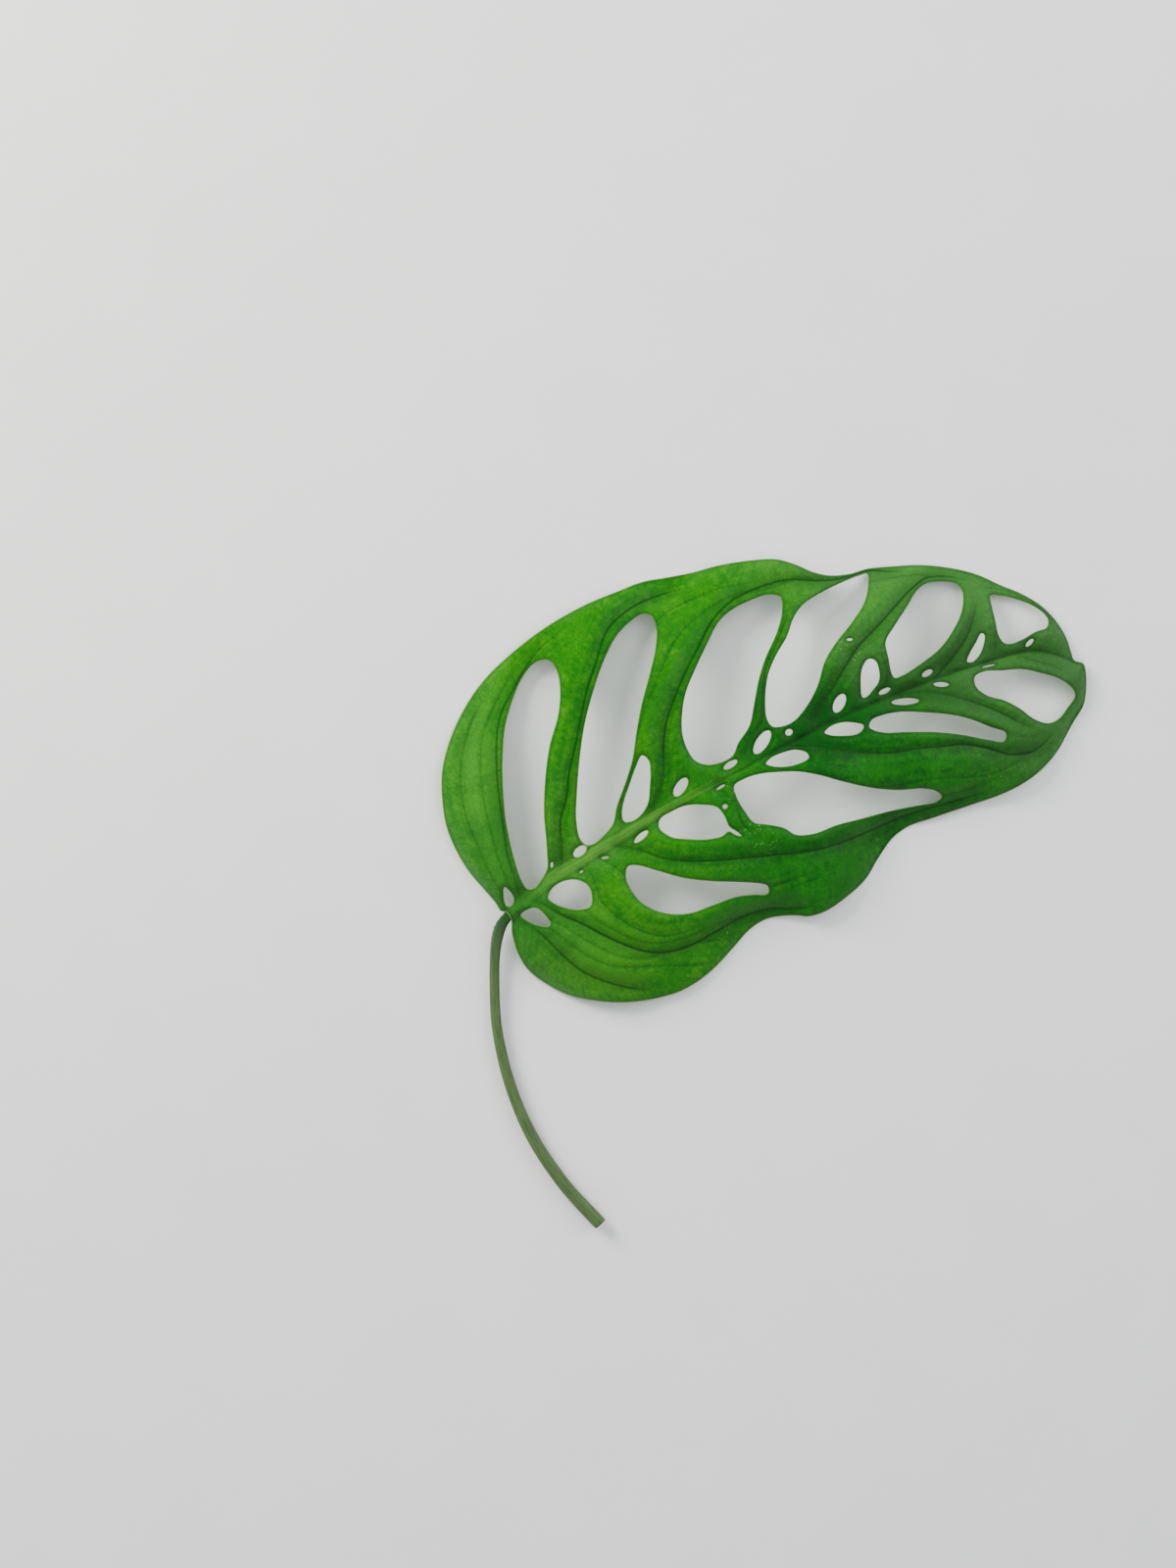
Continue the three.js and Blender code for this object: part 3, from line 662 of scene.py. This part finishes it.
def growStalk(paints, offset):
    facts = stalkFacts
    sides = facts["sides"]
    line = stalkLine()
    ahead = np.gradient(line, axis=0)
    ahead /= np.linalg.norm(ahead, axis=1)[:, None]
    aside = np.cross((0, 0, 1), ahead)
    aside /= np.linalg.norm(aside, axis=1)[:, None]
    above = np.cross(ahead, aside)
    share = np.linspace(0, 1, len(line))
    angles = np.linspace(0, 2 * math.pi, sides, endpoint=False)
    rows = []
    for i in range(len(line)):
        spokes = np.cos(angles)[:, None] * aside[i] + np.sin(angles)[:, None] * above[i]
        rows.append(line[i] + stalkSkin(i, share[i], angles)[:, None] * spokes)
    # the cut face: rings that draw in to the middle, a little sunken
    inwards = [1 - n / facts["cutRings"] for n in range(1, facts["cutRings"])]
    for inward in inwards:
        dish = facts["cutDish"] * (1 - inward) ** 0.5
        rows.append(line[0] + (rows[0] - line[0]) * inward + ahead[0] * dish)
    points = np.vstack(rows + [line[:1] + ahead[0] * facts["cutDish"], line[-1:]])
    rings = [range(r * sides, (r + 1) * sides) for r in range(len(rows))]
    tube, cut = rings[: len(line)], rings[len(line) :]
    cutMiddle, end = len(points) - 2, len(points) - 1
    faces = [quad for near, far in zip(tube, tube[1:]) for quad in band(near, far)]
    paintOf = [0] * len(faces)
    for near, far in zip(cut, tube[:1] + cut):
        faces += band(near, far)
    faces += [(cutMiddle, b, a) for a, b in neighbours(cut[-1])]
    paintOf += [1] * (len(faces) - len(paintOf))
    faces += [(end, a, b) for a, b in neighbours(tube[-1])]
    paintOf += [0] * sides
    points += np.array([0, 0, max(0, 0.02 - points[:, 2].min())]) + offset
    stalk = addPiece("leafStalk", points, faces, paints, paintOf)
    storeOn(stalk, "around", [*np.tile(angles, len(rows)), 0, 0])
    storeOn(stalk, "alongStalk", [*np.repeat(share, sides), *np.zeros(sides * len(cut)), 0, 1])
    storeOn(stalk, "fromCore", [*np.ones(sides * len(line)), *np.repeat(inwards, sides), 0, 1])
    print("stalk:", len(points), "points")
    return stalk


def shade(*channels):
    # an sRGB colour, 0 to 255, as the shader's linear one
    shares = [channel / 255 for channel in channels]
    return [v / 12.92 if v <= 0.04045 else ((v + 0.055) / 1.055) ** 2.4 for v in shares] + [1]


class Mixer:
    # a material under construction: each call adds a node and returns its output
    def __init__(self, name):
        self.paint = bpy.data.materials.new(name)
        self.paint.use_nodes = True
        self.tree = self.paint.node_tree
        self.shader = self.tree.nodes["Principled BSDF"]

    def add(self, kind):
        return self.tree.nodes.new("ShaderNode" + kind)

    def join(self, socket, value):
        if isinstance(value, bpy.types.NodeSocket):
            self.tree.links.new(value, socket)
        else:
            socket.default_value = value

    def feature(self, name):
        node = self.add("Attribute")
        node.attribute_name = name
        return node.outputs["Fac"]

    def where(self):
        return self.add("TexCoord").outputs["Object"]

    def vector(self, *values):
        node = self.add("CombineXYZ")
        for socket, value in zip(node.inputs, values):
            self.join(socket, value)
        return node.outputs[0]

    def work(self, kind, *values):
        node = self.add("Math")
        node.operation = kind
        for socket, value in zip(node.inputs, values):
            self.join(socket, value)
        return node.outputs[0]

    def times(self, value, factor):
        return self.work("MULTIPLY", value, factor)

    def plus(self, value, other):
        return self.work("ADD", value, other)

    def timesPlus(self, value, factor, other):
        return self.work("MULTIPLY_ADD", value, factor, other)

    def fade(self, value, low, high, start=0, end=1):
        node = self.add("MapRange")
        node.interpolation_type = "SMOOTHSTEP"
        for socket, number in zip(node.inputs, (value, low, high, start, end)):
            self.join(socket, number)
        return node.outputs[0]

    def blend(self, amount, first, second):
        node = self.add("Mix")
        node.data_type = "RGBA"
        self.join(node.inputs[0], amount)
        self.join(node.inputs[6], first)
        self.join(node.inputs[7], second)
        return node.outputs[2]

    def cloud(self, size, detail=3, rough=0.55, place=None):
        # soft noise whose lumps are about size millimetres across
        node = self.add("TexNoise")
        self.join(node.inputs["Vector"], place or self.where())
        for name, value in (("Scale", 1 / (size * mm)), ("Detail", detail), ("Roughness", rough)):
            self.join(node.inputs[name], value)
        return node.outputs["Fac"]

    def cells(self, size, kind="DISTANCE_TO_EDGE"):
        node = self.add("TexVoronoi")
        node.feature = kind
        self.join(node.inputs["Vector"], self.where())
        self.join(node.inputs["Scale"], 1 / (size * mm))
        return node.outputs["Distance"]

    def relief(self, height, depth, normal=None):
        node = self.add("Bump")
        self.join(node.inputs["Distance"], depth * mm)
        self.join(node.inputs["Height"], height)
        if normal:
            self.join(node.inputs["Normal"], normal)
        return node.outputs[0]

    def finish(self, colour, roughness, normal, specular=0.5):
        for name, value in (("Base Color", colour), ("Roughness", roughness), ("Normal", normal),
                            ("Specular IOR Level", specular)):
            self.join(self.shader.inputs[name], value)
        return self.paint


faceFacts = {
    # the greens from deep to bright follow the painted sunlight; the two darkest greens are painted shade,
    # the vein thread green and the rim green are painted highlights, and the greyish green is a painted
    # sheen
    "deep": shade(0, 74, 0), "middle": shade(20, 106, 0), "bright": shade(52, 130, 2),
    "valleyShade": shade(0, 50, 0), "veinHighlight": shade(46, 120, 18), "midrib": shade(86, 138, 44),
    "rim": shade(130, 166, 84), "edgeShade": shade(2, 52, 3), "speck": shade(190, 204, 160),
    "paintedSheen": shade(72, 122, 56),
    "roughness": 0.54, "uneven": 0.16, "specular": 0.2,
    # how much each kind of patch changes the green, and the level that brings it back to the middle
    "smallPatches": 0.45, "widePatches": 0.8, "streaks": 0.85, "quilting": 0.75, "fineCloud": 0.6,
    "level": -1.67,
    # how far each kind of line darkens it: the fine veins and the net are darker, while in the valleys,
    # along the faint veins, beside the veins, at the midrib's foot, in its groove and inside the edges the
    # darkening is painted shade
    "crossVeins": 0.16, "net": 0.13, "paintedValleyShade": 0.42, "faintVeins": 0.17, "veinGrooveShade": 0.9,
    "insideEdgeShade": 0.4, "midribFootShade": 0.3, "groove": 0.62,
    "midribWidth": (3.2, 0.9), "midribStrength": 0.5,
    "ridgeEnd": (70, 150),  # where the pale ridge turns into a groove, along the midrib
    # how far from its middle each line keeps its full tint, and where the tint ends
    "veinLineWidth": (0.12, 0.85), "threadWidth": (0.05, 0.38), "threadReach": (4, 26),
    "grooveWidth": (0.3, 1.3),
    "insideWidth": (0.4, 1.8), "marginWidth": (0.05, 0.5), "rimWidth": (0.02, 0.36),  # from the edge
    "fineRelief": 0.065, "coarseRelief": 0.28,  # of the fine lines, and of the quilting
}


def lengthways(mix, size, length, across="fromVein", along="alongVein"):
    # a place measured across and along the nearest vein, so noise read there runs with it
    return mix.vector(mix.times(mix.feature(across), mm / size), mix.times(mix.feature(along), mm / length))


def crossVeins(mix):
    # fine veins that leave each side vein at a slant, worked from the distances along and across it
    slant = mix.timesPlus(mix.feature("fromVein"), -0.75, mix.feature("alongVein"))
    wander = mix.times(mix.cloud(7), 5)
    step = mix.times(mix.plus(slant, wander), 0.24)
    line = mix.work("PINGPONG", step, 0.5)
    return mix.times(mix.fade(line, 0, 0.2, 1, 0), mix.feature("calm"))


def veinNoise(mix, size, length):
    # noise drawn out along the side veins, which fades to its middle value where two veins' halves meet
    texture = mix.cloud(1, 2, 0.5, lengthways(mix, size, length))
    swing = mix.times(mix.work("SUBTRACT", texture, 0.5), mix.feature("calm"))
    return mix.plus(swing, 0.5)


def tissueGreen(mix, streaks, quilting):
    facts = faceFacts
    wide = mix.times(mix.cloud(24, 4), facts["widePatches"])
    sun = mix.timesPlus(mix.cloud(5, 2), facts["smallPatches"], wide)
    sun = mix.plus(sun, facts["level"])
    sun = mix.timesPlus(streaks, facts["streaks"], sun)
    sun = mix.timesPlus(quilting, facts["quilting"], sun)
    sun = mix.timesPlus(mix.cloud(1.5, 3, 0.6), facts["fineCloud"], sun)
    # the painted sunlight map sets how far the green runs from deep to bright, on top of the random patches
    sun = mix.plus(mix.feature("sun"), sun)
    green = mix.blend(mix.fade(sun, -0.05, 0.55), facts["deep"], facts["middle"])
    green = mix.blend(mix.fade(sun, 0.45, 1), green, facts["bright"])
    # a painted sheen greys the green
    return mix.blend(mix.feature("paintedSheen"), green, facts["paintedSheen"])


def veinTints(mix, colour, fromBase):
    # each side vein gets a fine dark line of painted shade where its groove lies, with a pale thread of
    # painted highlight in it near the midrib
    facts = faceFacts
    fromVein, strength = mix.feature("fromVein"), mix.feature("veinStrength")
    veinShade = mix.fade(fromVein, *facts["veinLineWidth"], facts["veinGrooveShade"], 0)
    veinShade = mix.times(veinShade, mix.work("POWER", strength, 1.2))
    colour = mix.blend(veinShade, colour, facts["valleyShade"])
    highlightThread = mix.times(mix.fade(fromVein, *facts["threadWidth"], 1, 0), strength)
    highlightThread = mix.times(highlightThread, mix.fade(mix.feature("fromMidrib"), *facts["threadReach"], 0.55, 0.04))
    highlightThread = mix.times(highlightThread, mix.fade(fromBase, 90, 190, 1, 0.3))
    return mix.blend(highlightThread, colour, facts["veinHighlight"])


def midribTints(mix, colour, fromBase):
    # the midrib is a pale ridge near the stalk, with a dark line of painted shade at its foot, and further
    # on a groove darkened with painted shade
    facts = faceFacts
    fromMidrib = mix.feature("fromMidrib")
    nearStalk = mix.fade(fromBase, *facts["ridgeEnd"], 1, 0)
    width = mix.fade(fromBase, 0, 200, *facts["midribWidth"])
    onMidrib = mix.fade(mix.work("DIVIDE", fromMidrib, width), 0, 1.35, 1, 0)
    grain = mix.cloud(1, 3, 0.6, lengthways(mix, 0.8, 30, "fromMidrib", "alongMidrib"))
    pale = mix.times(nearStalk, facts["midribStrength"])
    pale = mix.times(pale, mix.fade(fromBase, 8, 38, 0, 1.15))
    pale = mix.times(pale, mix.fade(grain, 0.34, 0.64, 0.2, 1.35))
    colour = mix.blend(mix.times(onMidrib, pale), colour, facts["midrib"])
    footShade = mix.work("ABSOLUTE", mix.work("SUBTRACT", fromMidrib, mix.plus(width, 0.2)))
    footShade = mix.times(mix.fade(footShade, 0, 0.8, facts["midribFootShade"], 0), nearStalk)
    colour = mix.blend(footShade, colour, facts["valleyShade"])
    # painted shade in the groove
    groove = mix.times(mix.fade(fromMidrib, *facts["grooveWidth"], 1, 0),
                       mix.fade(fromBase, *facts["ridgeEnd"], 0, facts["groove"]))
    fibres = mix.times(onMidrib, mix.fade(fromBase, 90, 160, 1, 0.2))
    fibres = mix.times(fibres, mix.fade(grain, 0.35, 0.65))
    return mix.blend(groove, colour, facts["valleyShade"]), fibres


def edgeTints(mix, colour, fromBase):
    facts = faceFacts
    # a band of painted shade just inside each edge, and a pale painted highlight along the margin and the
    # windows' edges, as of light through the thin rim
    fromEdge = mix.feature("fromEdge")
    inside = mix.fade(fromEdge, *facts["insideWidth"], facts["insideEdgeShade"], 0)
    colour = mix.blend(inside, colour, facts["edgeShade"])
    rim = mix.plus(mix.fade(mix.feature("fromMargin"), *facts["marginWidth"], 0.3, 0),
                   mix.fade(fromEdge, *facts["rimWidth"], 0.4, 0))
    rim = mix.times(rim, mix.fade(fromBase, 60, 170, 1, 0.35))
    return mix.blend(rim, colour, facts["rim"]), rim


def paintFace():
    facts = faceFacts
    mix = Mixer("leafFace")
    fromBase = mix.feature("alongMidrib")
    streaks = veinNoise(mix, 2.4, 16)
    quilting = veinNoise(mix, 6, 2.6)
    fineLines = crossVeins(mix)
    net = mix.fade(mix.cells(2.2), 0, 0.3, 1, 0)
    colour = tissueGreen(mix, streaks, quilting)
    # the fine veins and the net darken the green, and the valleys and the faint veins get painted shade
    for amount, strength in ((fineLines, "crossVeins"), (net, "net"),
                             (mix.feature("valleyShade"), "paintedValleyShade"), (mix.feature("faint"), "faintVeins")):
        colour = mix.blend(mix.times(amount, facts[strength]), colour, facts["valleyShade"])
    colour = veinTints(mix, colour, fromBase)
    colour, fibres = midribTints(mix, colour, fromBase)
    colour, rim = edgeTints(mix, colour, fromBase)
    specks = mix.times(mix.fade(mix.cells(1.7, "F1"), 0.05, 0.22, 0.5, 0), mix.feature("specks"))
    colour = mix.blend(specks, colour, facts["speck"])
    smoothest = facts["roughness"] - facts["uneven"] / 2
    roughness = mix.timesPlus(rim, 0.2, mix.timesPlus(mix.cloud(11, 4), facts["uneven"], smoothest))
    height = mix.timesPlus(fineLines, -0.55, mix.times(mix.cloud(1.3, 3), 0.6))
    height = mix.timesPlus(net, -0.3, height)
    height = mix.timesPlus(fibres, 1.6, height)
    coarse = mix.relief(mix.plus(quilting, streaks), facts["coarseRelief"])
    return mix.finish(colour, roughness, mix.relief(height, facts["fineRelief"], coarse), facts["specular"])


backFacts = {
    "tissue": shade(84, 134, 62), "darkerTissue": shade(60, 108, 42), "vein": shade(138, 170, 100),
    "rim": shade(156, 182, 116), "roughness": 0.55, "relief": 0.15,
}


def paintBack():
    facts = backFacts
    mix = Mixer("leafBack")
    # random darker and lighter patches of tissue
    colour = mix.blend(mix.fade(mix.cloud(20, 4), 0.3, 0.7), facts["darkerTissue"], facts["tissue"])
    fineLines = crossVeins(mix)
    onVein = mix.timesPlus(mix.feature("faint"), 0.6, mix.feature("vein"))
    onMidrib = mix.fade(mix.feature("fromMidrib"), 0.8, 2.6, 0.85, 0)
    for amount in (mix.times(fineLines, 0.3), mix.work("MINIMUM", onVein, 0.85), onMidrib):
        colour = mix.blend(amount, colour, facts["vein"])
    colour = mix.blend(mix.fade(mix.feature("fromEdge"), 0.1, 0.9, 0.6, 0), colour, facts["rim"])
    height = mix.timesPlus(fineLines, 0.6, mix.cloud(1, 3))
    return mix.finish(colour, facts["roughness"], mix.relief(height, facts["relief"]))


skinFacts = {
    "base": shade(74, 98, 52), "knee": shade(58, 86, 50), "joint": shade(10, 62, 16),
    "streak": shade(48, 70, 36), "fleck": shade(140, 152, 104),
    "roughness": 0.48, "uneven": 0.2, "specular": 0.3, "relief": 0.25,
    "streakWidth": 3, "streakLength": 12,  # the stalk's round and its length, as the streaks see them
}


def paintStalk():
    facts = skinFacts
    mix = Mixer("leafStalk")
    along = mix.feature("alongStalk")
    colour = mix.blend(mix.fade(along, 0.7, 0.9), facts["base"], facts["knee"])
    colour = mix.blend(mix.fade(along, 0.87, 0.945), colour, facts["joint"])
    # streaks run lengthways, so the noise is read from the angle round the stalk and slowly along it
    around = [mix.times(mix.work(kind, mix.feature("around")), facts["streakWidth"] * mm)
              for kind in ("SINE", "COSINE")]
    place = mix.vector(*around, mix.times(along, facts["streakLength"] * mm))
    streaks = mix.cloud(0.7, 4, 0.6, place)
    colour = mix.blend(mix.fade(streaks, 0.42, 0.66, 0, 0.75), colour, facts["streak"])
    flecks = mix.fade(mix.cells(3.4, "F1"), 0.03, 0.11, 0.4, 0)
    colour = mix.blend(flecks, colour, facts["fleck"])
    roughness = mix.timesPlus(streaks, facts["uneven"], facts["roughness"] - facts["uneven"] / 2)
    return mix.finish(colour, roughness, mix.relief(streaks, facts["relief"]), facts["specular"])


cutFacts = {
    "flesh": shade(186, 196, 140), "skin": shade(96, 116, 60), "fibre": shade(142, 150, 92),
    "roughness": 0.5, "relief": 0.1,
}


def paintCut():
    facts = cutFacts
    mix = Mixer("stalkCut")
    strands = mix.fade(mix.cells(0.75, "F1"), 0.12, 0.38, 1, 0)
    colour = mix.blend(mix.times(strands, 0.7), facts["flesh"], facts["fibre"])
    colour = mix.blend(mix.fade(mix.feature("fromCore"), 0.82, 0.97), colour, facts["skin"])
    return mix.finish(colour, facts["roughness"], mix.relief(strands, facts["relief"]))


blade, offset = growBlade([paintFace(), paintBack()])
stalk = growStalk([paintStalk(), paintCut()], offset)
for piece, node in ((blade, "leaf_blade"), (stalk, "leaf_stalk")):
    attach(piece, "root")
    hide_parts(node)
print("pieces placed")


# the camera hangs over the leaf, turned so that the tip points up and to the right
cameraFacts = {
    "over": (58.8, 41.8),  # place in the plan under the lens
    "turn": -23.8633,  # of the view's right-hand side from the plan's x
    "tall": 719.2,  # height of the view at the leaf, in millimetres
    "lens": 70, "sensor": 36,
    "level": 10,
}


def hangCamera(offset):
    lens = bpy.data.cameras.new("camera")
    camera = addObject("camera", lens)
    lens.lens = cameraFacts["lens"]
    lens.sensor_width = cameraFacts["sensor"]
    distance = cameraFacts["tall"] * lens.lens / lens.sensor_width
    x, y = np.array(cameraFacts["over"]) + offset[:2]
    camera.location = (x * mm, y * mm, (cameraFacts["level"] + distance) * mm)
    camera.rotation_euler = (0, 0, math.radians(cameraFacts["turn"]))
    bpy.context.scene.camera = camera
    return camera


# watts, size and place of each lamp, in metres seen from the camera: right, up, and towards the lens;
# gloss says whether the lamp shows as a shine on the leaf
lampFacts = {
    "windowLamp": {"colour": (1, 0.99, 0.96), "watts": 38, "size": 0.8, "place": (-1, 0.85, 0.75),
                   "gloss": False},
    "fillLamp": {"colour": (0.93, 0.97, 1), "watts": 11, "size": 1.2, "place": (0.9, 0.6, 0.9),
                 "gloss": True},
}
skyFacts = {"colour": (0.93, 0.96, 1, 1), "strength": 0.78}


def lightStudio(camera):
    turn = camera.rotation_euler.to_matrix()
    middle = Vector((camera.location.x, camera.location.y, 0))
    for name, facts in lampFacts.items():
        light = bpy.data.lights.new(name, "AREA")
        light.energy = facts["watts"]
        light.color = facts["colour"]
        light.size = facts["size"]
        lamp = addObject(name, light)
        lamp.visible_glossy = facts["gloss"]
        lamp.location = middle + turn @ Vector(facts["place"])
        lamp.rotation_euler = (middle - lamp.location).to_track_quat("-Z", "Y").to_euler()
    world = bpy.data.worlds.new("studio")
    world.use_nodes = True
    sky = world.node_tree.nodes["Background"]
    sky.inputs["Color"].default_value = skyFacts["colour"]
    sky.inputs["Strength"].default_value = skyFacts["strength"]
    bpy.context.scene.world = world


floorFacts = {
    "half": 9000, "top": -0.2,  # just below the surface that the leaf lies on
    "shades": (shade(243, 245, 240), shade(246, 247, 243)), "roughness": 0.8,
}


def layFloor():
    half = floorFacts["half"]
    corners = np.array([(-half, -half, 0), (half, -half, 0), (half, half, 0), (-half, half, 0)])
    mix = Mixer("paleFloor")
    tone = mix.blend(mix.fade(mix.cloud(40), 0.3, 0.7), *floorFacts["shades"])
    mix.join(mix.shader.inputs["Base Color"], tone)
    mix.shader.inputs["Roughness"].default_value = floorFacts["roughness"]
    addPiece("floor", corners + (0, 0, floorFacts["top"]), [(0, 1, 2, 3)], [mix.paint])


lightStudio(hangCamera(offset))
layFloor()
print("studio lit")
